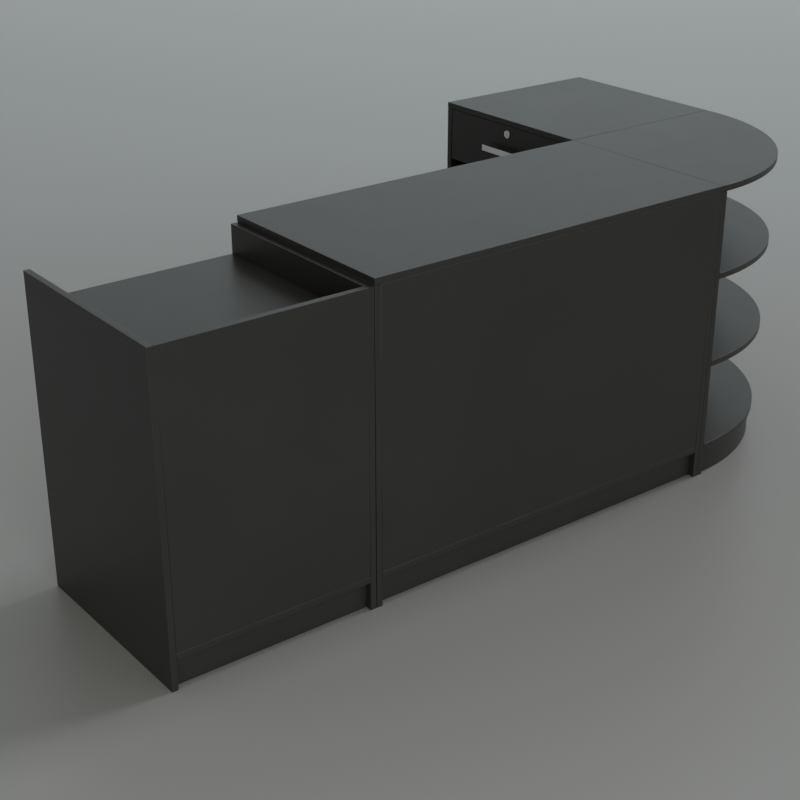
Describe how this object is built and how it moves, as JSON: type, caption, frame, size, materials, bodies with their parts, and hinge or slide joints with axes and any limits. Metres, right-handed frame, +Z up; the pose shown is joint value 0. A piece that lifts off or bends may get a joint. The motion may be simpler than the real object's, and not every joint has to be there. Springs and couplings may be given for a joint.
{
  "type": "reception desk",
  "caption": "L-shaped reception counter in black board with a low cash end, quarter-round open display corner and a return unit with a lockable drawer on telescopic runners.",
  "frame": {"origin": "on the floor, under the middle of the bounding box", "axes": "+X along the customers' front towards the round corner, +Y from the customers' side to the staff side, +Z up"},
  "size_m": [2.4026, 1.2006, 0.9],
  "materials": {
    "black_melamine": "fine-textured satin black melamine on particle board, with edge banding",
    "black_hardboard": "matte black coated hardboard",
    "satin_nickel": "pale satin nickel",
    "zinc_steel": "bright zinc plated"
  },
  "bodies": {
    "carcass": {"low_left_side": "black_melamine", "low_right_side": "black_melamine", "low_front": "black_melamine", "low_worktop": "black_melamine", "low_shelf": "black_melamine", "low_base_board": "black_melamine", "low_front_plinth": "black_melamine", "low_rear_plinth": "black_melamine", "counter_left_side": "black_melamine", "counter_right_side": "black_melamine", "counter_front": "black_melamine", "counter_top": "black_melamine", "counter_divider": "black_melamine", "counter_left_shelf": "black_melamine", "counter_right_shelf": "black_melamine", "counter_base_board": "black_melamine", "counter_front_plinth": "black_melamine", "counter_rear_plinth": "black_melamine", "corner_side": "black_melamine", "corner_back": "black_melamine", "corner_top": "black_melamine", "corner_base_shelf": "black_melamine", "corner_shelf_1": "black_melamine", "corner_shelf_2": "black_melamine", "corner_curved_plinth": "black_melamine", "drawer_unit_near_side": "black_melamine", "drawer_unit_far_side": "black_melamine", "drawer_unit_top": "black_melamine", "drawer_unit_face": "black_melamine", "drawer_unit_base_board": "black_melamine", "drawer_unit_staff_plinth": "black_melamine", "drawer_unit_outer_plinth": "black_melamine", "drawer_unit_shelf": "black_melamine", "near_runner_cabinet_member": "zinc_steel", "far_runner_cabinet_member": "zinc_steel", "lock_strike": "zinc_steel", "lower_connector_sleeve": "zinc_steel", "lower_connector_screw": "zinc_steel", "upper_connector_sleeve": "zinc_steel", "upper_connector_screw": "zinc_steel"},
    "drawer": {"drawer_front": "black_melamine", "drawer_near_wall": "black_melamine", "drawer_far_wall": "black_melamine", "drawer_back": "black_melamine", "drawer_bottom": "black_hardboard", "drawer_handle": "satin_nickel", "near_runner_drawer_member": "zinc_steel", "far_runner_drawer_member": "zinc_steel", "lock_housing": "satin_nickel", "lock_nut": "zinc_steel"},
    "runner_slides": {"near_runner_middle_member": "zinc_steel", "far_runner_middle_member": "zinc_steel"},
    "lock": {"lock_plug": "satin_nickel", "lock_cam": "zinc_steel"}
  },
  "joints": [
    {"name": "drawer_slide", "type": "slide", "parent": "carcass", "child": "drawer", "axis": [-1, 0, 0], "range_m": [0, 0.4]},
    {"name": "runner_slide", "type": "slide", "parent": "carcass", "child": "runner_slides", "axis": [-1, 0, 0], "range_m": [0, 0.2]},
    {"name": "lock_turn", "type": "hinge", "parent": "drawer", "child": "lock", "pos_m": [0.6033, 0.3003, 0.854], "axis": [1, 0, 0], "range_deg": [0, 90]}
  ],
  "couplings": [
    {"joint": "runner_slide", "follows": "drawer_slide", "ratio": 0.5}
  ]
}
